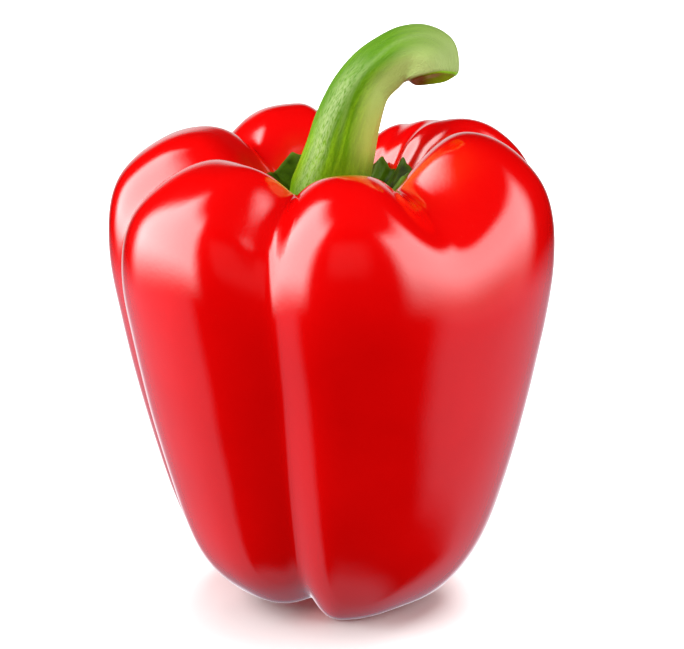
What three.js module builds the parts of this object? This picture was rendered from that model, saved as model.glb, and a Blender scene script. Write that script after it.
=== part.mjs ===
// A ripe red bell pepper with its calyx and a bent, cut stem. Millimetres, +Z up.
// The fruit stands on its blossom end. The stem bends towards +X, and -Y is the side
// with the two widest lobes. Azimuths are in degrees, counterclockwise from +X seen
// from above.
import * as THREE from 'three';

// Meridian of a plain lobe, as radius and height: from the middle of the blossom end
// down to the foot, up the side, over the shoulder and the crown, and down into the
// stem cavity.
const MERIDIAN = [
  [0, 8.0], [6.0, 7.0], [11.5, 2.6], [17.0, 0.0], [23.0, 2.6], [29.8, 13.0],
  [35.8, 31.0], [40.7, 52.0], [43.8, 70.0], [42.0, 82.0], [35.2, 89.2],
  [27.0, 91.5], [20.0, 88.5], [14.5, 82.5], [8.5, 79.0], [0, 78.5],
];
// How far each of those points follows a lobe's own rise and a furrow's notch.
const CROWN_SHARE = [0, 0, 0, 0, 0, 0, 0, 0, 0.3, 0.7, 1, 1, 0.8, 0.3, 0, 0];
// The same points, grouped by what scales them.
const FOOT_POINTS = [2, 3, 4];
const WIDEST_POINT = 8;
const BROW_POINT = 10;
const LIP_POINT = 13;
const SHOULDER_HEIGHT = 74;
const CREST_TOLERANCE = 1e-9;

// Lobes in order of azimuth. reach scales the radius at the shoulder, foot and crown;
// rise lifts the crown and footRise the foot, in mm.
const LOBES = [
  { azimuth: -86, shoulderReach: 0.995, footReach: 1.00, crownReach: 1.00, rise: 1.6, footRise: 0.0 },
  { azimuth: -14, shoulderReach: 0.995, footReach: 1.02, crownReach: 0.92, rise: 4.7, footRise: 1.0 },
  { azimuth: 24, shoulderReach: 0.99, footReach: 1.00, crownReach: 1.00, rise: 2.5, footRise: 0.0 },
  { azimuth: 50, shoulderReach: 1.00, footReach: 1.00, crownReach: 1.00, rise: 0.4, footRise: 0.5 },
  { azimuth: 66, shoulderReach: 1.00, footReach: 1.00, crownReach: 1.00, rise: -2.2, footRise: 0.5 },
  { azimuth: 106, shoulderReach: 1.00, footReach: 1.00, crownReach: 1.00, rise: 2.3, footRise: 0.8 },
  { azimuth: 160, shoulderReach: 1.06, footReach: 1.05, crownReach: 1.00, rise: 1.8, footRise: 0.0 },
  { azimuth: 216, shoulderReach: 1.04, footReach: 1.02, crownReach: 1.00, rise: 1.1, footRise: 2.0 },
];

// The furrow after each lobe. depth is in mm, at the foot, low side, side, upper side,
// widest part, shoulder, brow, crown and lip; notch lowers the crown there, in mm, and
// drift swings the furrow round the stem at the crown, in degrees.
const FURROWS = [
  { azimuth: -53, depth: [0.5, 0.3, 0.3, 0.8, 2.0, 3.5, 4.5, 4.5, 2.5], notch: 5.5, drift: 0 },
  { azimuth: 4, depth: [3.0, 3.0, 3.0, 3.5, 4.5, 5.5, 5.5, 4.0, 1.5], notch: 6.0, drift: 0 },
  { azimuth: 39, depth: [0.5, 0.3, 0.3, 0.5, 1.0, 1.5, 2.2, 2.6, 2.0], notch: 0.5, drift: 0 },
  { azimuth: 58, depth: [0.2, 0.2, 0.2, 0.2, 0.2, 0.3, 0.3, 0.3, 0.2], notch: 0.2, drift: 0 },
  { azimuth: 82, depth: [3.5, 3.5, 3.5, 4.0, 5.5, 6.5, 6.5, 4.5, 1.5], notch: 6.0, drift: 0 },
  { azimuth: 140, depth: [1.0, 1.0, 1.0, 2.0, 4.0, 5.5, 6.0, 4.0, 1.5], notch: 6.0, drift: 0 },
  { azimuth: 186, depth: [3.0, 3.0, 3.0, 3.5, 4.5, 5.5, 5.5, 4.0, 1.5], notch: 5.0, drift: 0 },
  { azimuth: 252, depth: [4.0, 4.0, 4.0, 4.5, 6.0, 7.0, 7.0, 5.0, 1.5], notch: 5.0, drift: -6 },
];
// The entry of a furrow's depth list that each meridian point takes, and its share.
const FURROW_ENTRY = [0, 0, 0, 0, 1, 1, 2, 3, 4, 5, 6, 7, 8, 8, 0, 0];
const FURROW_SHARE = [0, 0.3, 0.7, 1, 1, 1, 1, 1, 1, 1, 1, 1, 1, 0.3, 0, 0];
// A furrow also lifts the foot: by this much where it is at least this deep.
const FOOT_FURROW_RISE = 2.0;
const FULL_FOOT_FURROW = 3.0;
// The lowest feet are worn flat up to this height.
const FLAT_FOOT = 0.5;
// Meridians are about this many degrees apart, with at least so many beside a crease.
const MERIDIAN_STEP = 5;
const FEWEST_STEPS = 3;
const SAMPLES_PER_SPAN = 3;
const WALL_SAMPLES_PER_SPAN = 12;

// Calyx: a green plate that lines the stem cavity, with pointed teeth on its rim.
const CALYX = {
  gap: 0.35, wellRadius: 9.6, floorRadius: 10.8, floorTop: 81.05, rimRadius: 14.8,
  thickness: 1.3, rimThickness: 0.8, rimLean: 0.4, azimuthStep: 3, ringsAcross: 4,
};
const TEETH = [
  { azimuth: 33, halfWidth: 8, power: 1.3, reach: 1.4, rise: 0.0 },
  { azimuth: 51, halfWidth: 9, power: 1.3, reach: 0.3, rise: 2.5 },
  { azimuth: 84, halfWidth: 22, power: 1.3, reach: 2.0, rise: 0.8 },
  { azimuth: 123, halfWidth: 30, power: 1.1, reach: 2.4, rise: 0.7 },
  { azimuth: 180, halfWidth: 22, power: 1.3, reach: 1.0, rise: 0.0 },
  { azimuth: 222, halfWidth: 24, power: 1.3, reach: 2.2, rise: 0.6 },
  { azimuth: 270, halfWidth: 22, power: 1.3, reach: 1.8, rise: 0.7 },
  { azimuth: 318, halfWidth: 24, power: 1.3, reach: 2.2, rise: 0.6 },
];

// Stem sections from the flared base to the cut end. lean tips the heading from
// straight up towards +X and nod turns it towards -Y, both in degrees. radius is the
// half width in the plane of the bend, and across is the half width at right angles.
const STEM_SECTIONS = [
  { centre: [-0.9, 0, 81.7], lean: 0, nod: 0, radius: 8.2, across: 8.1 },
  { centre: [-0.9, 0, 83.5], lean: 4, nod: 0, radius: 7.9, across: 7.7 },
  { centre: [-0.3, 0, 86.6], lean: 8, nod: 0, radius: 7.25, across: 7.1 },
  { centre: [0.9, 0, 90.9], lean: 12, nod: 0, radius: 6.75, across: 6.8 },
  { centre: [1.9, 0, 95.3], lean: 15, nod: 0, radius: 6.5, across: 6.6 },
  { centre: [3.4, 0, 99.8], lean: 24, nod: 0, radius: 6.15, across: 6.4 },
  { centre: [4.9, 0, 102.9], lean: 37, nod: 0, radius: 5.9, across: 6.2 },
  { centre: [6.9, 0, 105.8], lean: 54, nod: 0, radius: 5.7, across: 6.1 },
  { centre: [9.4, -0.2, 107.8], lean: 71, nod: 2, radius: 5.6, across: 6.0 },
  { centre: [12.3, -0.5, 109.4], lean: 90, nod: 5, radius: 5.9, across: 5.9 },
  { centre: [15.5, -1.2, 110.2], lean: 112, nod: 12, radius: 6.1, across: 5.8 },
  { centre: [17.8, -2.5, 109.1], lean: 136, nod: 22, radius: 6.0, across: 5.6 },
  { centre: [18.5, -4.1, 106.5], lean: 167, nod: 34, radius: 5.1, across: 5.2 },
];
const STEM = { sides: 24, samplesPerSpan: 2, ridges: 6, ridgeDepth: 0.035, twist: 50 };

const radians = THREE.MathUtils.degToRad;
const mix = THREE.MathUtils.lerp;
const turn = (degrees) => ((degrees % 360) + 360) % 360;

// Catmull-Rom value between b and c, with a and d as their neighbours.
function spline(a, b, c, d, t) {
  const slope = c - a;
  const bend = 2 * a - 5 * b + 4 * c - d;
  const twist = 3 * b - a - 3 * c + d;
  return 0.5 * (2 * b + slope * t + bend * t * t + twist * t * t * t);
}

// The two lobes beside an azimuth, the blend between them, and how much of their
// furrow is felt there: 1 in its crease and 0 on a crest.
function placeOnFruit(azimuth) {
  const start = LOBES[0].azimuth;
  const along = turn(azimuth - start);
  let index = LOBES.length - 1;
  while (turn(LOBES[index].azimuth - start) > along + CREST_TOLERANCE) {
    index -= 1;
  }
  const lobe = LOBES[index];
  const next = LOBES[(index + 1) % LOBES.length];
  const crest = turn(lobe.azimuth - start);
  const nextCrest = turn(next.azimuth - start) || 360;
  const crease = turn(FURROWS[index].azimuth - start);
  const share = (along - crest) / (nextCrest - crest);
  const blend = share * share * (3 - 2 * share);
  const side = along > crease ? nextCrest - crease : crease - crest;
  const furrow = (1 - Math.abs(along - crease) / side) ** 2;
  const between = (key) => mix(lobe[key], next[key], blend);
  return { between, furrow, crease: FURROWS[index] };
}

// The meridian's points at an azimuth, as radius, height and swing in degrees.
function meridianAt(azimuth) {
  const { between, furrow, crease } = placeOnFruit(azimuth);
  const shoulder = between('shoulderReach');
  const crown = between('crownReach');
  return MERIDIAN.map(([radius, height], point) => {
    let reach = 1;
    if (point <= WIDEST_POINT) {
      reach = mix(between('footReach'), shoulder, THREE.MathUtils.clamp(height / SHOULDER_HEIGHT, 0, 1));
    } else if (point < BROW_POINT) {
      reach = shoulder;
    } else if (point === BROW_POINT) {
      reach = (shoulder + crown) / 2;
    } else if (point <= LIP_POINT) {
      reach = crown;
    }
    const dip = crease.depth[FURROW_ENTRY[point]] * FURROW_SHARE[point] * furrow;
    let z = height + CROWN_SHARE[point] * (between('rise') - crease.notch * furrow);
    if (FOOT_POINTS.includes(point)) {
      const fullness = Math.min(1, crease.depth[0] / FULL_FOOT_FURROW);
      z += between('footRise') + FOOT_FURROW_RISE * furrow * fullness;
    }
    const swing = crease.drift * furrow * CROWN_SHARE[point];
    return [Math.max(radius * reach - dip, 0), z, swing];
  });
}

// A smooth run of samples through the meridian's points. Past each end, the meridian
// goes on as its own mirror image across the axis.
function smoothMeridian(azimuth, samples) {
  const points = meridianAt(azimuth);
  const last = points.length - 1;
  const mirrored = ([radius, height, swing]) => [-radius, height, swing];
  const padded = [mirrored(points[1]), ...points, mirrored(points[last - 1])];
  const run = [];
  for (let span = 0; span < last; span += 1) {
    for (let step = 0; step < samples; step += 1) {
      const [a, b, c, d] = padded.slice(span, span + 4);
      const t = step / samples;
      run.push(b.map((unused, part) => spline(a[part], b[part], c[part], d[part], t)));
    }
  }
  run.push(points[last]);
  return run;
}

// Azimuths of the fruit's meridians: one on every crest and crease, evenly spaced
// between them.
function meridianAzimuths() {
  const azimuths = [];
  LOBES.forEach((lobe, index) => {
    const next = LOBES[(index + 1) % LOBES.length];
    const end = lobe.azimuth + turn(next.azimuth - lobe.azimuth);
    const crease = lobe.azimuth + turn(FURROWS[index].azimuth - lobe.azimuth);
    for (const [from, to] of [[lobe.azimuth, crease], [crease, end]]) {
      const steps = Math.max(FEWEST_STEPS, Math.round((to - from) / MERIDIAN_STEP));
      for (let step = 0; step < steps; step += 1) {
        azimuths.push(mix(from, to, step / steps));
      }
    }
  });
  return azimuths;
}

// A closed body from rings of points stacked between two poles. Each ring runs
// counterclockwise seen from the last pole's side.
function bodyOfRings(firstPole, rings, lastPole) {
  const sides = rings[0].length;
  const positions = [firstPole, ...rings.flat(), lastPole].flatMap((point) => [point.x, point.y, point.z]);
  const at = (ring, side) => 1 + ring * sides + (side % sides);
  const end = 1 + rings.length * sides;
  const faces = [];
  for (let side = 0; side < sides; side += 1) {
    faces.push(0, at(0, side + 1), at(0, side));
    for (let ring = 0; ring < rings.length - 1; ring += 1) {
      faces.push(at(ring, side), at(ring, side + 1), at(ring + 1, side + 1));
      faces.push(at(ring, side), at(ring + 1, side + 1), at(ring + 1, side));
    }
    faces.push(at(rings.length - 1, side), at(rings.length - 1, side + 1), end);
  }
  const geometry = new THREE.BufferGeometry();
  geometry.setAttribute('position', new THREE.Float32BufferAttribute(positions, 3));
  geometry.setIndex(faces);
  geometry.computeVertexNormals();
  return geometry;
}

const polar = (azimuth, radius, height) => new THREE.Vector3(
  radius * Math.cos(radians(azimuth)), radius * Math.sin(radians(azimuth)), height,
);

function fruitGeometry() {
  const azimuths = meridianAzimuths();
  const runs = azimuths.map((azimuth) => smoothMeridian(azimuth, SAMPLES_PER_SPAN));
  const samples = runs[0].length;
  const rings = [];
  for (let sample = 1; sample < samples - 1; sample += 1) {
    rings.push(azimuths.map((azimuth, index) => {
      const [radius, height, swing] = runs[index][sample];
      return polar(azimuth + swing, radius, Math.max(height, FLAT_FOOT));
    }));
  }
  const [bottom, top] = [runs[0][0][1], runs[0][samples - 1][1]];
  return bodyOfRings(new THREE.Vector3(0, 0, bottom), rings, new THREE.Vector3(0, 0, top));
}

// Height of the stem cavity's wall at an azimuth and a radius.
function cavityHeight(run, radius) {
  for (let index = run.length - 1; index > 0; index -= 1) {
    const [inner, outer] = [run[index], run[index - 1]];
    if (outer[0] >= radius) {
      return mix(inner[1], outer[1], (radius - inner[0]) / (outer[0] - inner[0]));
    }
  }
  return 0;
}

// How much of a tooth stands at an azimuth, as its reach and its rise.
function toothAt(azimuth) {
  let best = { share: 0, reach: 0, rise: 0 };
  for (const tooth of TEETH) {
    const away = Math.abs(turn(azimuth - tooth.azimuth + 180) - 180);
    const share = Math.max(0, 1 - away / tooth.halfWidth) ** tooth.power;
    if (share > best.share) {
      best = { share, reach: tooth.reach * share, rise: tooth.rise * share };
    }
  }
  return best;
}

function calyxGeometry() {
  const count = 360 / CALYX.azimuthStep;
  const columns = [];
  for (let index = 0; index < count; index += 1) {
    const azimuth = index * CALYX.azimuthStep;
    const run = smoothMeridian(azimuth, WALL_SAMPLES_PER_SPAN);
    const tooth = toothAt(azimuth);
    const rim = CALYX.rimRadius + tooth.reach;
    const under = [];
    const over = [];
    for (let step = 0; step <= CALYX.ringsAcross; step += 1) {
      const share = step / CALYX.ringsAcross;
      const radius = mix(CALYX.floorRadius, rim, share);
      const height = cavityHeight(run, radius) + CALYX.gap + tooth.rise * share * share;
      const thickness = mix(CALYX.thickness, CALYX.rimThickness, share);
      under.push(polar(azimuth, radius, height));
      const top = Math.max(height + thickness, CALYX.floorTop);
      over.unshift(polar(azimuth, radius - thickness * CALYX.rimLean, top));
    }
    const halfway = CALYX.floorRadius / 2;
    const inner = polar(azimuth, halfway, cavityHeight(run, halfway) + CALYX.gap);
    columns.push([inner, ...under, ...over, polar(azimuth, CALYX.wellRadius, CALYX.floorTop)]);
  }
  const rings = columns[0].map((unused, ring) => columns.map((column) => column[ring]));
  const floor = MERIDIAN[MERIDIAN.length - 1][1] + CALYX.gap;
  return bodyOfRings(new THREE.Vector3(0, 0, floor), rings, new THREE.Vector3(0, 0, CALYX.floorTop));
}

// One ring of the stem: its section is a softly ridged oval in the plane that the
// heading is square to.
function stemRing(section, twist) {
  const [lean, nod] = [radians(section.lean), radians(section.nod)];
  const heading = new THREE.Vector3(
    Math.sin(lean) * Math.cos(nod), -Math.sin(nod), Math.cos(lean) * Math.cos(nod),
  );
  const across = new THREE.Vector3(0, 1, 0).addScaledVector(heading, -heading.y).normalize();
  const inward = new THREE.Vector3().crossVectors(across, heading).normalize();
  const ring = [];
  for (let side = 0; side < STEM.sides; side += 1) {
    const angle = (side / STEM.sides) * Math.PI * 2;
    const ridge = 1 + STEM.ridgeDepth * Math.cos(STEM.ridges * angle + radians(twist));
    ring.push(new THREE.Vector3(...section.centre)
      .addScaledVector(inward, section.radius * ridge * Math.cos(angle))
      .addScaledVector(across, section.across * ridge * Math.sin(angle)));
  }
  return ring;
}

function stemGeometry() {
  const last = STEM_SECTIONS.length - 1;
  const pick = (index) => STEM_SECTIONS[THREE.MathUtils.clamp(index, 0, last)];
  const rings = [];
  for (let span = 0; span <= last; span += 1) {
    const samples = span < last ? STEM.samplesPerSpan : 1;
    for (let step = 0; step < samples; step += 1) {
      const t = step / samples;
      const four = [span - 1, span, span + 1, span + 2].map(pick);
      const value = (key) => spline(...four.map((section) => section[key]), t);
      const centre = [0, 1, 2].map((axis) => spline(...four.map((section) => section.centre[axis]), t));
      const section = {
        centre, lean: value('lean'), nod: value('nod'), radius: value('radius'), across: value('across'),
      };
      rings.push(stemRing(section, (STEM.twist * (span + t)) / last));
    }
  }
  const foot = new THREE.Vector3(...STEM_SECTIONS[0].centre);
  const tip = new THREE.Vector3(...STEM_SECTIONS[last].centre);
  return bodyOfRings(foot, rings, tip);
}

function piece(name, geometry, colour, roughness) {
  const material = new THREE.MeshStandardMaterial({ color: colour, roughness, metalness: 0 });
  const mesh = new THREE.Mesh(geometry, material);
  mesh.name = name;
  return mesh;
}

const pepper = new THREE.Group();
pepper.add(piece('fruit', fruitGeometry(), 0xc40a08, 0.18));
pepper.add(piece('calyx', calyxGeometry(), 0x2f5a1c, 0.4));
pepper.add(piece('stem', stemGeometry(), 0x86ad3c, 0.45));

// The origin is the middle of the base of the whole pepper's box.
const box = new THREE.Box3().setFromObject(pepper);
const middle = box.getCenter(new THREE.Vector3());
pepper.position.set(-middle.x, -middle.y, -box.min.z);

const root = new THREE.Group();
root.add(pepper);
export default root;
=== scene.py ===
from math import atan2, cos, degrees, exp, pi, radians, sin, sqrt
import bpy
from mathutils import Matrix, Vector, noise


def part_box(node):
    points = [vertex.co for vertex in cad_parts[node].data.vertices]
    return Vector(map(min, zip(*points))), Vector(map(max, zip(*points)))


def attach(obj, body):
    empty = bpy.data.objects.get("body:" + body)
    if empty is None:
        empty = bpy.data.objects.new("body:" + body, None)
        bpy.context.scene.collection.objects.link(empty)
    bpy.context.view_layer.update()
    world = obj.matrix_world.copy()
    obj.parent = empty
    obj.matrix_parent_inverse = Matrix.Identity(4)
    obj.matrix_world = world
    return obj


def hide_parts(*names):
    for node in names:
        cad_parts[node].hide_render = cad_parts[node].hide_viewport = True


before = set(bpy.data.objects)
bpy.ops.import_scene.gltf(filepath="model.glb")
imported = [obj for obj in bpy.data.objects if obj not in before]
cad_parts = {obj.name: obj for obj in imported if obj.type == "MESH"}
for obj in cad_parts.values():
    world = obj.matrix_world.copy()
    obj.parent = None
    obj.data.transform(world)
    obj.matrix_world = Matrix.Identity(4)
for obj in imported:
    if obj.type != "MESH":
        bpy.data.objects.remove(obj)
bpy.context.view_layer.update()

# Fruit
# A ripe sweet pepper is one fleshy, hollow berry that grew as lobes round its stem, with a
# furrow between each two. Its waxy red skin is very glossy, and it stands on its blossom end.
MM = 0.001
# The outline from the blossom end to the middle of the stem cavity, as radius and height.
MERIDIAN = (
    (0, 8.0), (6.0, 7.0), (11.5, 2.6), (17.0, 0.0), (23.0, 2.6), (29.8, 13.0),
    (35.8, 31.0), (40.7, 52.0), (43.8, 70.0), (42.0, 82.0), (35.2, 89.2),
    (27.0, 91.5), (20.0, 88.5), (14.5, 82.5), (8.5, 79.0), (0, 78.5),
)
FOOT_POINTS = (2, 3, 4)
WIDEST_POINT, BROW_POINT, LIP_POINT = 8, 10, 13
SHOULDER_HEIGHT = 74.0
# How much each of its points rises with a crown, which furrow depth it takes and how much of it.
CROWN_SHARE = (0, 0, 0, 0, 0, 0, 0, 0, 0.3, 0.7, 1, 1, 0.8, 0.3, 0, 0)
FURROW_ENTRY = (0, 0, 0, 0, 1, 1, 2, 3, 4, 5, 6, 7, 8, 8, 0, 0)
FURROW_SHARE = (0, 0.3, 0.7, 1, 1, 1, 1, 1, 1, 1, 1, 1, 1, 0.3, 0, 0)
# Each lobe: azimuth, reach at the shoulder, foot and crown, rise of the crown and foot.
LOBES = (
    (-86, 0.995, 1.00, 1.00, 1.15, 0.0), (-16.5, 0.995, 1.02, 0.94, 4.6, 1.0),
    (20, 0.972, 1.00, 0.94, 3.3, 0.0), (48, 1.00, 1.00, 1.00, 0.3, 0.5),
    (62, 1.00, 1.00, 1.00, -1.4, 0.5), (104, 1.00, 1.00, 1.03, 2.0, 0.8),
    (159, 1.06, 1.05, 1.00, 1.4, 0.0), (224, 1.04, 1.02, 1.00, 1.3, 2.0),
)
# The furrow after each lobe: azimuth, depths from foot to lip, crown notch, swing of its top,
# how softly its bottom is rounded and how narrow it is on each side.
FURROWS = (
    (-53, (0.5, 0.3, 0.3, 0.7, 1.5, 2.4, 4.0, 4.8, 2.5), 7.0, -1, 0.45, (2.7, 2.5)),
    (4, (3.0, 3.0, 3.0, 3.5, 4.5, 5.5, 5.5, 4.0, 1.5), 6.0, 0, 0.15, (2.4, 2.0)),
    (34, (0.5, 0.3, 0.3, 0.5, 1.0, 1.6, 2.4, 2.8, 2.2), 0.0, 0, 0.25, (2.0, 2.0)),
    (55, (0.2, 0.2, 0.2, 0.2, 0.2, 0.2, 0.2, 0.2, 0.1), 0.0, 0, 0.50, (2.0, 2.0)),
    (82, (3.5, 3.5, 3.5, 4.0, 5.5, 6.5, 6.5, 4.5, 1.5), 7.0, 0, 0.30, (1.8, 1.8)),
    (138, (1.0, 1.0, 1.0, 2.0, 4.0, 5.5, 6.5, 5.0, 2.0), 6.0, 0, 0.20, (4.0, 2.8)),
    (189, (3.0, 3.0, 3.0, 3.5, 4.5, 5.5, 5.5, 4.0, 1.5), 5.0, 0, 0.10, (3.2, 3.2)),
    (253.5, (4.0, 4.0, 4.0, 3.8, 4.2, 4.9, 5.4, 4.6, 1.5), 5.5, -4, 0.12, (2.5, 2.4)),
)
FOOT_FURROW_RISE, FULL_FOOT_FURROW, FLAT_FOOT = 2.0, 3.0, 0.5
SIDES_BESIDE_FURROW = 9
FRUIT_RINGS = 120
SLIVER = 1e-9


def mix(a, b, share):
    """The value a share of the way from one value to another."""
    return a * (1 - share) + b * share


def ease(share):
    """A share from 0 to 1 that starts and ends gently."""
    share = min(max(share, 0.0), 1.0)
    return share * share * (3 - 2 * share)


def spline(a, b, c, d, t):
    """A smooth curve's value between its second and third points."""
    square = (2 * a - 5 * b + 4 * c - d) * t * t
    cube = (3 * b - a - 3 * c + d) * t ** 3
    return 0.5 * (2 * b + (c - a) * t + square + cube)


def lobed_meridian(azimuth):
    """The meridian's points at an azimuth, as radius, height and swing."""
    start = LOBES[0][0]
    along = (azimuth - start) % 360
    index = max(i for i, lobe in enumerate(LOBES) if (lobe[0] - start) % 360 <= along + SLIVER)
    lobe, after = LOBES[index], LOBES[(index + 1) % len(LOBES)]
    crest, next_crest = (lobe[0] - start) % 360, (after[0] - start) % 360 or 360
    crease_azimuth, depths, notch, drift, soft, narrowness = FURROWS[index]
    crease = (crease_azimuth - start) % 360
    blend = ease((along - crest) / (next_crest - crest))
    side = next_crest - crease if along > crease else crease - crest
    away = sqrt(((along - crease) / side) ** 2 + soft ** 2) - soft
    away /= sqrt(1 + soft ** 2) - soft
    furrow = max(1 - away, 0) ** narrowness[along > crease]
    swing = drift * ease(1 - abs(along - crease) / side)
    values = (mix(a, b, blend) for a, b in zip(lobe[1:], after[1:]))
    shoulder, foot, crown, rise, foot_rise = values
    points = []
    for place, (radius, height) in enumerate(MERIDIAN):
        if place <= WIDEST_POINT:
            reach = mix(foot, shoulder, min(max(height / SHOULDER_HEIGHT, 0), 1))
        elif place < BROW_POINT:
            reach = shoulder
        elif place == BROW_POINT:
            reach = (shoulder + crown) / 2
        else:
            reach = crown if place <= LIP_POINT else 1
        dip = depths[FURROW_ENTRY[place]] * FURROW_SHARE[place] * furrow
        height += CROWN_SHARE[place] * (rise - notch * furrow)
        if place in FOOT_POINTS:
            height += foot_rise + FOOT_FURROW_RISE * furrow * min(1, depths[0] / FULL_FOOT_FURROW)
        points.append((max(radius * reach - dip, 0), height, swing * CROWN_SHARE[place]))
    return points


def along_meridian(points, share):
    """The place at a share of the way from the blossom end to the cavity's middle."""
    last = len(points) - 1
    place = min(share * last, last - SLIVER)
    span = int(place)
    before = points[span - 1] if span else (-points[1][0], *points[1][1:])
    beyond = (-points[last - 1][0], *points[last - 1][1:])
    after = points[span + 2] if span + 2 <= last else beyond
    four = (before, points[span], points[span + 1], after)
    return [spline(*(point[part] for point in four), place - span) for part in range(3)]


# Where the red turns orange: from one place on the meridian to another, round the whole lip,
# and in one flush on the right lobe, with its azimuth, its place and their widths.
LIP_BLUSH = (11.8, 13.0)
FLUSH_AZIMUTH, FLUSH_WIDTH = -40, 9
FLUSH_PLACE, FLUSH_LENGTH = 10.9, 0.7


def degrees_apart(azimuth, other):
    """Degrees from one azimuth to another, the short way round."""
    return (azimuth - other + 180) % 360 - 180


def blush_at(azimuth, share):
    """How orange the skin is at an azimuth and a share of the meridian."""
    place = share * (len(MERIDIAN) - 1)
    lip = ease((place - LIP_BLUSH[0]) / (LIP_BLUSH[1] - LIP_BLUSH[0]))
    flush = exp(-(degrees_apart(azimuth, FLUSH_AZIMUTH) / FLUSH_WIDTH) ** 2)
    flush *= exp(-((place - FLUSH_PLACE) / FLUSH_LENGTH) ** 2)
    return max(lip, flush)


def apply_modifier(piece, kind, name, **settings):
    """A modifier with its settings, made and applied to the piece."""
    modifier = piece.modifiers.new(name, kind)
    for key, value in settings.items():
        setattr(modifier, key, value)
    bpy.ops.object.modifier_apply(modifier=modifier.name)


azimuths = []
for index, lobe in enumerate(LOBES):
    crease = lobe[0] + (FURROWS[index][0] - lobe[0]) % 360
    next_crest = lobe[0] + (LOBES[(index + 1) % len(LOBES)][0] - lobe[0]) % 360
    for start, end in ((lobe[0], crease), (crease, next_crest)):
        steps = range(SIDES_BESIDE_FURROW)
        azimuths += [mix(start, end, step / SIDES_BESIDE_FURROW) for step in steps]

bpy.ops.object.select_all(action="DESELECT")
bpy.ops.mesh.primitive_uv_sphere_add(segments=len(azimuths), ring_count=FRUIT_RINGS, radius=1)
fruit = bpy.context.object
fruit.name = "pepper_fruit"
meridians = [lobed_meridian(azimuth) for azimuth in azimuths]
warmth = fruit.data.attributes.new("warmth", "FLOAT", "POINT")
for vertex in fruit.data.vertices:
    turn = atan2(vertex.co.y, vertex.co.x) / (2 * pi)
    column = round(turn * len(azimuths)) % len(azimuths)
    share = atan2(vertex.co.to_2d().length, -vertex.co.z) / pi
    radius, height, swing = along_meridian(meridians[column], share)
    angle = radians(azimuths[column] + swing)
    warmth.data[vertex.index].value = blush_at(azimuths[column], share)
    height = max(height, FLAT_FOOT)
    vertex.co = Vector((radius * cos(angle), radius * sin(angle), height)) * MM

# The fruit's axis stands where the solid's does, and the skin stays inside the solid's box.
low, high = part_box("fruit")
middle = (low + high) / 2
axis = Vector((0, 0, low.z - FLAT_FOOT * MM))
for part in range(2):
    reaches = [vertex.co[part] for vertex in fruit.data.vertices]
    axis[part] = middle[part] - (min(reaches) + max(reaches)) / 2
# The skin's slow and quick swells: length in metres and height. They fade towards the feet.
SWELLS = ((0.021, 0.25), (0.008, 0.06))
SWELL_SINK, FOOT_CALM = 0.12, 0.012
for vertex in fruit.data.vertices:
    swell = sum(noise.noise(vertex.co / length) * height for length, height in SWELLS)
    outward = Vector((vertex.co.x, vertex.co.y, 0)).normalized()
    swell = (swell - SWELL_SINK) * ease(vertex.co.z / FOOT_CALM)
    vertex.co += outward * swell * MM + axis
for part in range(2):
    widest = max(abs(vertex.co[part] - middle[part]) for vertex in fruit.data.vertices)
    fit = min(1.0, (high[part] - middle[part]) / widest)
    for vertex in fruit.data.vertices:
        vertex.co[part] = middle[part] + (vertex.co[part] - middle[part]) * fit
apply_modifier(fruit, "SUBSURF", "finer skin", levels=1, render_levels=1)
bpy.ops.object.shade_smooth()

DEEP_RED, BRIGHT_RED = (0.58, 0.0003, 0.0004), (0.65, 0.0008, 0.0008)
ORANGE, PALE_SPECK = (0.62, 0.030, 0.002), (0.60, 0.05, 0.03)
CLOUD_SCALE, PATCH_SCALE, SPECK_SCALE = 45.0, 110.0, 260.0
RIPPLE_SCALE, GRAIN_SCALE = 160.0, 1400.0
WAXY_GLOSS = {"Roughness": 0.14, "Coat Weight": 1.0, "Coat Roughness": 0.08}


def new_finish(name):
    """A new material, with its node tree and its shader."""
    made = bpy.data.materials.new(name)
    made.use_nodes = True
    return made, made.node_tree, made.node_tree.nodes["Principled BSDF"]


def add(tree, kind, inputs=None, **settings):
    """A new shader node with its settings, its inputs set or wired."""
    made = tree.nodes.new(kind)
    for key, value in settings.items():
        setattr(made, key, value)
    for key, value in (inputs or {}).items():
        if isinstance(value, bpy.types.NodeSocket):
            tree.links.new(value, made.inputs[key])
        else:
            made.inputs[key].default_value = value
    return made


def maths(tree, operation, *values):
    """The result of one operation on one or two values."""
    return add(tree, "ShaderNodeMath", dict(enumerate(values)), operation=operation).outputs[0]


def product(tree, value, *others):
    """Several values multiplied."""
    for other in others:
        value = maths(tree, "MULTIPLY", value, other)
    return value


def remap(tree, value, low, high, new_low=0.0, new_high=1.0):
    """A value carried from one range to another, and held inside it."""
    names = ("Value", "From Min", "From Max", "To Min", "To Max")
    inputs = dict(zip(names, (value, low, high, new_low, new_high)))
    return add(tree, "ShaderNodeMapRange", inputs).outputs[0]


def blend_colours(tree, share, first, second):
    """The colour a share of the way from one colour to another."""
    made = add(tree, "ShaderNodeMix", {0: share}, data_type="RGBA")
    for place, colour in ((6, first), (7, second)):
        if isinstance(colour, bpy.types.NodeSocket):
            tree.links.new(colour, made.inputs[place])
        else:
            made.inputs[place].default_value = (*colour, 1)
    return made.outputs[2]


def tinted(tree, colour, tint, where, most):
    """A colour with a tint over it, up to a share of it at most."""
    return blend_colours(tree, product(tree, where, most), colour, tint)


def mottling(tree, place, scale, detail):
    """A cloudy pattern from 0 to 1."""
    inputs = {"Vector": place, "Scale": scale, "Detail": detail}
    return add(tree, "ShaderNodeTexNoise", inputs).outputs["Fac"]


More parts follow.
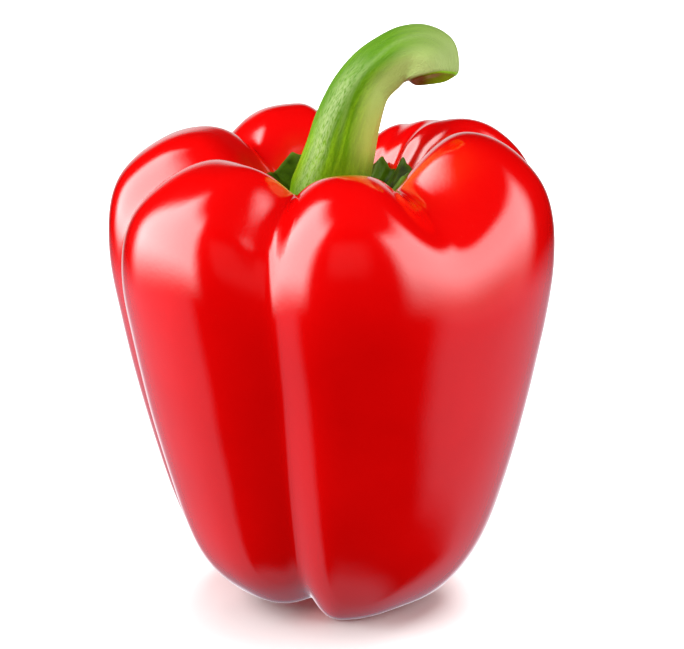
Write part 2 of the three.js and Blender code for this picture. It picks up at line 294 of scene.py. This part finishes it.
def relief(tree, pattern, strength, depth, under=None):
    """The surface's small relief after a pattern, on top of another relief."""
    inputs = {"Height": pattern, "Strength": strength, "Distance": depth}
    if under is not None:
        inputs["Normal"] = under
    return add(tree, "ShaderNodeBump", inputs).outputs[0]


def mark(tree, name, output="Fac"):
    """What the mesh carries under a name."""
    return add(tree, "ShaderNodeAttribute", attribute_name=name).outputs[output]


def give_finish(tree, shader, colour, normal, gloss):
    """The shader's colour, relief and gloss."""
    tree.links.new(colour, shader.inputs["Base Color"])
    tree.links.new(normal, shader.inputs["Normal"])
    for name, value in gloss.items():
        shader.inputs[name].default_value = value


skin, tree, shader = new_finish("red waxy skin")
place = add(tree, "ShaderNodeTexCoord").outputs["Object"]
cloud = remap(tree, mottling(tree, place, CLOUD_SCALE, 3.0), 0.3, 0.7)
red = blend_colours(tree, cloud, DEEP_RED, BRIGHT_RED)
patches = remap(tree, mottling(tree, place, PATCH_SCALE, 3.0), 0.35, 0.6, 0.35, 1.0)
red = tinted(tree, red, ORANGE, product(tree, mark(tree, "warmth"), patches), 0.7)
speck = add(tree, "ShaderNodeTexVoronoi", {"Vector": place, "Scale": SPECK_SCALE})
speck = remap(tree, speck.outputs["Distance"], 0.035, 0.02)
red = tinted(tree, red, PALE_SPECK, speck, 0.3)
ripple = relief(tree, mottling(tree, place, RIPPLE_SCALE, 3.0), 0.13, 0.0006)
grain = relief(tree, mottling(tree, place, GRAIN_SCALE, 2.0), 0.10, 0.0002, ripple)
give_finish(tree, shader, red, grain, WAXY_GLOSS)
fruit.data.materials.append(skin)
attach(fruit, "root")
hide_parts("fruit")

# Calyx
# The calyx is what is left of the flower's green base. It lines the hollow round the stem like
# a thick, leathery saucer that grew onto both, with a rib out to each of its pointed teeth.
WELL_RADIUS, RIM_RADIUS, FLOOR_HEIGHT = 6.5, 14.8, 79.4
CALYX_SIDES, CALYX_RINGS = 240, 9
CALYX_LIFT, CALYX_THICKNESS, RIM_RISE = 0.7, 1.5, 1.0
RIB_WIDTH, RIB_RISE, EDGE_SHARPNESS = 2.6, 0.35, 5
CRIMP_WIDTH, CRIMP_LENGTH, CRIMP_HEIGHT = 7, 0.5, 0.25
WALL_STEPS = 240
# Each tooth: azimuth, half width in degrees, sharpness, reach and rise.
TEETH = (
    (37, 11, 0.9, 1.6, -2.3), (55, 11, 0.9, 0.8, 1.4),
    (84, 22, 1.0, 2.0, 0.2), (120, 30, 0.8, 2.4, -0.8),
    (180, 22, 1.0, 1.0, 0.0), (222, 24, 1.0, 2.2, 0.0),
    (270, 22, 1.0, 1.8, 0.0), (318, 24, 1.0, 2.2, 0.0),
)


def wall_height(azimuth, radius):
    """Height of the stem cavity, the meridian's last third, at an azimuth and a radius."""
    points = lobed_meridian(azimuth)
    inner = along_meridian(points, 1.0)
    for step in range(1, WALL_STEPS // 3):
        outer = along_meridian(points, 1.0 - step / WALL_STEPS)
        if outer[0] >= radius:
            return mix(inner[1], outer[1], (radius - inner[0]) / (outer[0] - inner[0]))
        inner = outer
    return inner[1]


def tooth_at(azimuth):
    """A tooth's reach and rise at an azimuth, and how much of its rib is there."""
    fullest, tooth = 0.0, (0.0, 0.0, 0.0)
    for middle, half_width, sharpness, reach, rise in TEETH:
        away = abs(degrees_apart(azimuth, middle))
        share = max(0.0, 1 - away / half_width) ** sharpness
        if share > fullest:
            fullest = share
            tooth = (reach * share, rise * share, exp(-((away / RIB_WIDTH) ** 2)))
    return tooth


bpy.ops.object.select_all(action="DESELECT")
bpy.ops.mesh.primitive_circle_add(
    vertices=CALYX_SIDES, radius=WELL_RADIUS * MM, fill_type="NOTHING",
)
calyx = bpy.context.object
calyx.name = "pepper_calyx"
bpy.ops.object.mode_set(mode="EDIT")
bpy.ops.mesh.select_all(action="SELECT")
ring_radii = [mix(WELL_RADIUS, RIM_RADIUS, ring / (CALYX_RINGS - 1)) for ring in range(CALYX_RINGS)]
for narrower, wider in zip(ring_radii, ring_radii[1:]):
    growth = wider / narrower
    bpy.ops.mesh.extrude_edges_move()
    bpy.ops.transform.resize(value=(growth, growth, 1), center_override=(0, 0, 0))
bpy.ops.object.mode_set(mode="OBJECT")
for name in ("edge", "rib"):
    calyx.data.attributes.new(name, "FLOAT", "POINT")
lit_rim_mark, rib_mark = calyx.data.attributes["edge"], calyx.data.attributes["rib"]
for vertex in calyx.data.vertices:
    azimuth = degrees(atan2(vertex.co.y, vertex.co.x))
    share = (vertex.co.to_2d().length / MM - WELL_RADIUS) / (RIM_RADIUS - WELL_RADIUS)
    reach, rise, rib = tooth_at(azimuth)
    radius = mix(WELL_RADIUS, RIM_RADIUS + reach, share)
    crimp = noise.noise(Vector((azimuth / CRIMP_WIDTH, share / CRIMP_LENGTH, 0)))
    height = wall_height(azimuth, radius) + CALYX_LIFT + (RIM_RISE + rise) * share ** 2
    height = max(height, FLOOR_HEIGHT) + (rib * RIB_RISE + crimp * CRIMP_HEIGHT) * share
    angle = radians(azimuth)
    vertex.co = Vector((radius * cos(angle), radius * sin(angle), height)) * MM + axis
    lit_rim_mark.data[vertex.index].value = share ** EDGE_SHARPNESS
    rib_mark.data[vertex.index].value = rib
apply_modifier(calyx, "SOLIDIFY", "leathery plate", thickness=CALYX_THICKNESS * MM, offset=1.0)
apply_modifier(calyx, "SUBSURF", "rounded edges", levels=2, render_levels=2)
bpy.ops.object.shade_smooth()

DARK_GREEN, LEAF_GREEN = (0.011, 0.026, 0.0003), (0.042, 0.090, 0.0012)
RIB_GREEN, LIT_RIM_GREEN = (0.10, 0.19, 0.008), (0.11, 0.20, 0.02)
LEATHER_SCALE = 420.0
leather, tree, shader = new_finish("dark green calyx")
place = add(tree, "ShaderNodeTexCoord").outputs["Object"]
mottle = mottling(tree, place, LEATHER_SCALE, 4.0)
green = blend_colours(tree, remap(tree, mottle, 0.35, 0.7), DARK_GREEN, LEAF_GREEN)
green = tinted(tree, green, RIB_GREEN, mark(tree, "rib"), 0.3)
# Painted highlight: the outermost rim is painted a paler green, as light caught along its edges.
green = tinted(tree, green, LIT_RIM_GREEN, remap(tree, mark(tree, "edge"), 0.75, 1.0), 0.4)
creases = relief(tree, mottle, 0.6, 0.0006)
give_finish(tree, shader, green, creases, {"Roughness": 0.42, "Specular IOR Level": 0.08})
calyx.data.materials.append(leather)
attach(calyx, "root")
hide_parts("calyx")

# Stem
# The stem is the thick, fibrous stalk that the fruit hung from, juicy green with soft ridges. It
# flares where it stands in the calyx, bends over, and ends in a cut that has dried brown.
STEM_SIDES, STEM_STEPS = 36, 5
RIDGES, RIDGE_DEPTH, RIDGE_TURN, RIDGE_TWIST = 5, 0.045, 132, 30
LUMP_SPREAD, LUMP_HEIGHT, GRAIN_STEP = 1.3, 0.025, 0.5
# Each section from the foot to the cut: its middle, lean towards +X, nod towards -Y, half
# width in the bend's plane and across it.
STEM_SECTIONS = (
    ((-0.9, 0, 78.8), 0, 0, 8.4, 8.3), ((-0.9, 0, 83.5), 4, 0, 7.9, 7.7),
    ((-0.3, 0, 86.6), 8, 0, 7.25, 7.1), ((0.9, 0, 90.9), 12, 0, 6.75, 6.8),
    ((2.0, 0, 95.2), 15, 0, 6.4, 6.6), ((3.6, 0, 99.7), 24, 0, 5.95, 6.3),
    ((5.1, 0, 102.8), 37, 0, 5.7, 6.1), ((7.1, 0, 105.6), 54, 0, 5.5, 6.0),
    ((9.5, -0.2, 107.7), 71, 2, 5.5, 6.0), ((12.3, -0.5, 109.4), 90, 5, 5.9, 5.9),
    ((15.4, -1.0, 110.05), 112, 9, 6.05, 5.8), ((18.0, -2.1, 108.8), 138, 17, 6.0, 5.7),
    ((18.6, -3.3, 106.1), 170, 26, 4.9, 5.1),
)
STEM_SPANS = len(STEM_SECTIONS) - 1
# Each inset of the cut end: how far in and how far out, in metres. The first is the raised rim.
CUT_INSETS = (
    (0.0005, 0.0004), (0.0006, 0.0001), (0.0004, -0.0003), (0.0014, -0.0003), (0.0012, -0.0002),
)


def stem_section(along):
    """Middle, lean, nod and half widths at a place counted in sections from the foot."""
    index = min(int(along), STEM_SPANS - 1)
    four = [STEM_SECTIONS[min(max(index + step, 0), STEM_SPANS)] for step in (-1, 0, 1, 2)]
    rows = [(*middle, *rest) for middle, *rest in four]
    return [spline(*(row[part] for row in rows), along - index) for part in range(7)]


def stem_ring(along):
    """The matrix that carries a unit ring to its place on the stem."""
    x, y, z, lean, nod, radius, across = stem_section(along)
    turn = Matrix.Rotation(radians(lean), 4, "Y") @ Matrix.Rotation(radians(nod), 4, "X")
    size = Matrix.Diagonal((radius * MM, across * MM, MM, 1))
    return Matrix.Translation(axis + Vector((x, y, z)) * MM) @ turn @ size


bpy.ops.object.select_all(action="DESELECT")
bpy.ops.mesh.primitive_circle_add(vertices=STEM_SIDES, radius=1, fill_type="NGON")
stem = bpy.context.object
stem.name = "pepper_stem"
stem.data.attributes.new("grain", "FLOAT_VECTOR", "POINT")
stem.data.attributes.new("cut", "FLOAT", "POINT")
ring_points = [vertex.co.copy() for vertex in stem.data.vertices]
for step in range(STEM_SPANS * STEM_STEPS + 1):
    along = step / STEM_STEPS
    if step:
        bpy.ops.object.mode_set(mode="EDIT")
        bpy.ops.mesh.extrude_region_move()
        bpy.ops.object.mode_set(mode="OBJECT")
    matrix = stem_ring(along)
    ridge_turn = radians(RIDGE_TURN - RIDGE_TWIST * along / STEM_SPANS)
    grain_mark = stem.data.attributes["grain"]
    ring = [vertex for vertex in stem.data.vertices if vertex.select]
    for vertex, unit in zip(ring, ring_points):
        ridge = 1 + RIDGE_DEPTH * cos(RIDGES * (atan2(unit.y, unit.x) + ridge_turn))
        spread = Vector((unit.x * LUMP_SPREAD, unit.y * LUMP_SPREAD, along * GRAIN_STEP))
        lump = noise.noise(spread) * LUMP_HEIGHT
        vertex.co = matrix @ (unit * (ridge + lump))
        grain_mark.data[vertex.index].vector = (unit.x, unit.y, along * GRAIN_STEP)
bpy.ops.object.mode_set(mode="EDIT")
for inward, outward in CUT_INSETS:
    bpy.ops.mesh.inset(thickness=inward, depth=outward)
bpy.ops.object.mode_set(mode="OBJECT")
first_cut_point = STEM_SIDES * (STEM_SPANS * STEM_STEPS + 2)
for point in stem.data.attributes["cut"].data[first_cut_point:]:
    point.value = 1.0
apply_modifier(stem, "SUBSURF", "rounded", levels=2, render_levels=2)
bpy.ops.object.shade_smooth()

DULL_GREEN, FRESH_GREEN = (0.095, 0.230, 0.002), (0.195, 0.385, 0.008)
PAINTED_SHADE_GREEN, FOOT_GREEN = (0.060, 0.165, 0.003), (0.085, 0.135, 0.002)
PIT_GREEN, RIDGE_PALE = (0.055, 0.140, 0.002), (0.22, 0.33, 0.09)
HIGHLIGHT_PALE, END_PALE = (0.28, 0.37, 0.14), (0.31, 0.38, 0.13)
LOW_PALE, HIGH_PALE = (0.36, 0.37, 0.06), (0.38, 0.50, 0.14)
CUT_GREEN, CUT_BROWN, CORK = (0.26, 0.75, 0.004), (0.11, 0.050, 0.0005), (0.12, 0.12, 0.02)
FIBRE_STRETCH, PIT_STRETCH = (7.0, 7.0, 1.0), (22.0, 22.0, 9.0)


def stretched_mottling(tree, place, stretch, detail):
    """A cloudy pattern that is drawn out along the fibres."""
    place = add(tree, "ShaderNodeMapping", {"Vector": place, "Scale": stretch}).outputs[0]
    return mottling(tree, place, 1.0, detail)


# The grain's first part runs from the stem's outer side to its inner side, the second from
# front to back, both from -1 to 1, and the third up the stem, from 0 at its foot to 6.
stalk, tree, shader = new_finish("green fibrous stem")
fibre = mark(tree, "grain", "Vector")
inward, back, up = add(tree, "ShaderNodeSeparateXYZ", {0: fibre}).outputs
streak = stretched_mottling(tree, fibre, FIBRE_STRETCH, 4.0)
pits = stretched_mottling(tree, fibre, PIT_STRETCH, 3.0)
green = blend_colours(tree, remap(tree, streak, 0.39, 0.61), DULL_GREEN, FRESH_GREEN)
# Painted shade: the upper part of the stem's outer side, which faces up, is painted a darker green.
painted_shade_side = product(tree, remap(tree, up, 1.2, 2.4), remap(tree, inward, 0.15, -0.35))
green = tinted(tree, green, PAINTED_SHADE_GREEN, painted_shade_side, 0.75)
low_part = product(tree, remap(tree, up, 1.9, 1.0), remap(tree, inward, -0.5, 0.0))
green = tinted(tree, green, FOOT_GREEN, low_part, 0.75)
across = maths(tree, "ADD", inward, product(tree, up, 0.2))
off_ridge = maths(tree, "ABSOLUTE", maths(tree, "SUBTRACT", across, 0.2))
ridge_line = product(
    tree, remap(tree, off_ridge, 0.12, 0.02),
    remap(tree, back, 0.1, -0.2), remap(tree, up, 1.6, 2.4),
)
green = tinted(tree, green, RIDGE_PALE, ridge_line, 0.35)
green = tinted(tree, green, PIT_GREEN, remap(tree, pits, 0.52, 0.36), 0.35)
# Painted highlight: a pale speckled streak down the left front of the stem's lower part, as the
# sheen of the light from the left.
painted_highlight_streak = product(
    tree, remap(tree, back, -0.2, -0.6), remap(tree, inward, -0.35, -0.6),
    remap(tree, up, 3.8, 2.9), remap(tree, up, 0.8, 1.6, 0.6, 1.0), remap(tree, pits, 0.36, 0.56),
)
green = tinted(tree, green, HIGHLIGHT_PALE, painted_highlight_streak, 0.8)
pale = blend_colours(tree, remap(tree, up, 1.2, 3.4), LOW_PALE, HIGH_PALE)
inner_side = product(tree, remap(tree, across, 0.45, 1.0), remap(tree, up, 1.2, 1.8, 0.3, 1.0))
green = tinted(tree, green, pale, inner_side, 0.85)
green = tinted(tree, green, END_PALE, remap(tree, up, 4.3, 5.8), 0.8)
dried = blend_colours(tree, remap(tree, inward, -0.5, 0.45), CUT_GREEN, CUT_BROWN)
dried = tinted(tree, dried, CORK, remap(tree, pits, 0.35, 0.65), 0.3)
green = blend_colours(tree, remap(tree, mark(tree, "cut"), 0.2, 0.8), green, dried)
ribbing = relief(tree, streak, 0.10, 0.0006)
pitting = relief(tree, pits, 0.45, 0.0005, ribbing)
give_finish(tree, shader, green, pitting, {"Roughness": 0.34, "Specular IOR Level": 0.1})
stem.data.materials.append(stalk)
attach(stem, "root")
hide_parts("stem")

# Floor
# The pepper stands on a plain sheet of white acrylic with a dull face, wide enough to have no
# edge in view. It isn't mirrored in the pepper's gloss and doesn't light it from below.
FLOOR_SIZE = 8
DULL_WHITE = {"Base Color": (0.88, 0.88, 0.88, 1), "Roughness": 0.7, "Specular IOR Level": 0.2}
bpy.ops.object.select_all(action="DESELECT")
bpy.ops.mesh.primitive_plane_add(size=FLOOR_SIZE, location=(0, 0, 0))
floor = bpy.context.object
floor.name = "floor"
acrylic, tree, shader = new_finish("white acrylic")
for name, value in DULL_WHITE.items():
    shader.inputs[name].default_value = value
floor.data.materials.append(acrylic)
floor.visible_diffuse = floor.visible_glossy = floor.visible_shadow = False

# Lights
# A plain studio: a tall softbox on the left, a smaller one on the right, pale surfaces that
# glow low at the sides and behind, and a dark front. Wide sheets of light fill in the rest.
REST_OF_ROOM = 0.004
# Each softbox: brightness, and the four soft edges of its azimuths and of its heights.
LEFT_BOX = (4.8, (-130, -116, -56, -38), (-21, 4, 49, 72))
RIGHT_BOX = (3.2, (37, 56, 98, 118), (-25, 15, 37, 53))
# The low cards at the sides, the glow from below and the wall behind: each one's soft edges
# and brightness.
LEFT_CARD, RIGHT_CARD, CARD_TOP, CARD_LEVEL = (-50, -66), (58, 74), (-12, -22), 0.34
RIGHT_CARD_FOOT, RIGHT_CARD_END = (-40, -50), (125, 105)
UNDER_EDGE, UNDER_LEVEL = (-62, -75), 0.30
WALL_SIDE, WALL_TOP, WALL_FOOT, WALL_LEVEL = (150, 166), (24, 8), (-40, -28), 0.7
LOW_TINT = (1.0, 0.92, 1.12)


def slope(tree, value, edge):
    """0 up to the edge's start, 1 from its end on, with a soft passage, both in degrees."""
    made = add(tree, "ShaderNodeMapRange", {"Value": value}, interpolation_type="SMOOTHSTEP")
    made.inputs["From Min"].default_value = radians(edge[0])
    made.inputs["From Max"].default_value = radians(edge[1])
    return made.outputs[0]


def between(tree, value, edges):
    """1 in the middle of four soft edges, which go from low to high, and 0 outside them."""
    rise, fall = (edges[0], edges[1]), (edges[3], edges[2])
    return product(tree, slope(tree, value, rise), slope(tree, value, fall))


def softbox(tree, azimuth, elevation, box):
    """The brightness of a softbox."""
    level, sides, heights = box
    return product(tree, between(tree, azimuth, sides), between(tree, elevation, heights), level)


room = bpy.data.worlds.new("studio")
bpy.context.scene.world = room
room.use_nodes = True
tree = room.node_tree
background = tree.nodes["Background"]
direction = add(tree, "ShaderNodeTexCoord").outputs["Generated"]
right, away, up = add(tree, "ShaderNodeSeparateXYZ", {0: direction}).outputs
azimuth = maths(tree, "ARCTAN2", right, product(tree, away, -1.0))
elevation = maths(tree, "ARCSINE", up)
boxes = [softbox(tree, azimuth, elevation, box) for box in (LEFT_BOX, RIGHT_BOX)]
card_foot = product(
    tree, slope(tree, elevation, RIGHT_CARD_FOOT), slope(tree, azimuth, RIGHT_CARD_END),
)
above_foot = maths(tree, "SUBTRACT", 1.0, card_foot)
right_card = product(tree, slope(tree, azimuth, RIGHT_CARD), above_foot)
cards = maths(tree, "ADD", slope(tree, azimuth, LEFT_CARD), right_card)
cards = product(tree, cards, slope(tree, elevation, CARD_TOP), CARD_LEVEL)
under = product(tree, slope(tree, elevation, UNDER_EDGE), UNDER_LEVEL)
low_light = maths(tree, "MAXIMUM", cards, under)
low_parts = [product(tree, low_light, share) for share in LOW_TINT]
low_colour = add(tree, "ShaderNodeCombineColor", dict(enumerate(low_parts))).outputs[0]
wall = product(
    tree, slope(tree, maths(tree, "ABSOLUTE", azimuth), WALL_SIDE),
    slope(tree, elevation, WALL_TOP), slope(tree, elevation, WALL_FOOT), WALL_LEVEL,
)
high_light = REST_OF_ROOM
for light in (*boxes, wall):
    high_light = maths(tree, "ADD", light, high_light)
both = {0: low_colour, 1: high_light}
all_light = add(tree, "ShaderNodeVectorMath", both, operation="ADD").outputs[0]
seen = add(tree, "ShaderNodeLightPath").outputs["Is Camera Ray"]
tree.links.new(blend_colours(tree, seen, all_light, (1, 1, 1)), background.inputs["Color"])
background.inputs["Strength"].default_value = 1.0

pepper_pieces = bpy.data.collections.new("pepper pieces")
for piece in (fruit, calyx, stem):
    pepper_pieces.objects.link(piece)
table = bpy.data.collections.new("table")
table.objects.link(floor)


def fill_sheet(name, place, size, energy, casts_shadow, lit_pieces):
    """A wide sheet of light that faces the pepper and shows in no gloss."""
    lamp = bpy.data.lights.new(name, "AREA")
    lamp.shape, lamp.size, lamp.energy = "SQUARE", size, energy
    lamp.use_shadow = casts_shadow
    sheet = bpy.data.objects.new(name, lamp)
    bpy.context.scene.collection.objects.link(sheet)
    sheet.location = place
    sheet.rotation_euler = Vector(place).to_track_quat("Z", "Y").to_euler()
    sheet.visible_camera = sheet.visible_glossy = False
    sheet.light_linking.receiver_collection = lit_pieces


fill_sheet("overhead sheet", (0, 0.1, 1.4), 2.0, 5.5, True, pepper_pieces)
fill_sheet("front sheet", (0, -1.6, 0.7), 1.2, 18.0, False, pepper_pieces)
fill_sheet("left sheet", (-1.7, -0.2, 0.5), 1.2, 8.0, False, pepper_pieces)
fill_sheet("right sheet", (1.7, -0.2, 0.5), 1.2, 16.0, False, pepper_pieces)
fill_sheet("back sheet", (0, 1.8, 0.6), 1.2, 3.0, False, pepper_pieces)
fill_sheet("table sheet", (0.2, 0.5, 1.3), 1.6, 65.0, True, table)

# Camera
# It looks down a little on the front of the pepper from 0.6 m away, with the middle of the
# pepper a little left of the picture's middle and below it.
CAMERA_ELEVATION, CAMERA_DISTANCE = 18.0, 0.6
SUBJECT = axis + Vector((0, 0, 0.05))
FRAME_WIDTH, FRAME_HEIGHT = 684, 649
PIXEL_SIZE = 0.0001985
SUBJECT_PIXEL = (336, 350)
lens = bpy.data.cameras.new("camera")
lens.sensor_width = 36
lens.lens = lens.sensor_width * CAMERA_DISTANCE / (PIXEL_SIZE * FRAME_WIDTH)
lens.shift_x = (FRAME_WIDTH / 2 - SUBJECT_PIXEL[0]) / FRAME_WIDTH
lens.shift_y = (SUBJECT_PIXEL[1] - FRAME_HEIGHT / 2) / FRAME_WIDTH
camera = bpy.data.objects.new("camera", lens)
bpy.context.scene.collection.objects.link(camera)
tilt = radians(CAMERA_ELEVATION)
camera.location = SUBJECT + Vector((0, -cos(tilt), sin(tilt))) * CAMERA_DISTANCE
camera.rotation_euler = (pi / 2 - tilt, 0, 0)
bpy.context.scene.camera = camera
bpy.context.scene.view_settings.view_transform = "Standard"
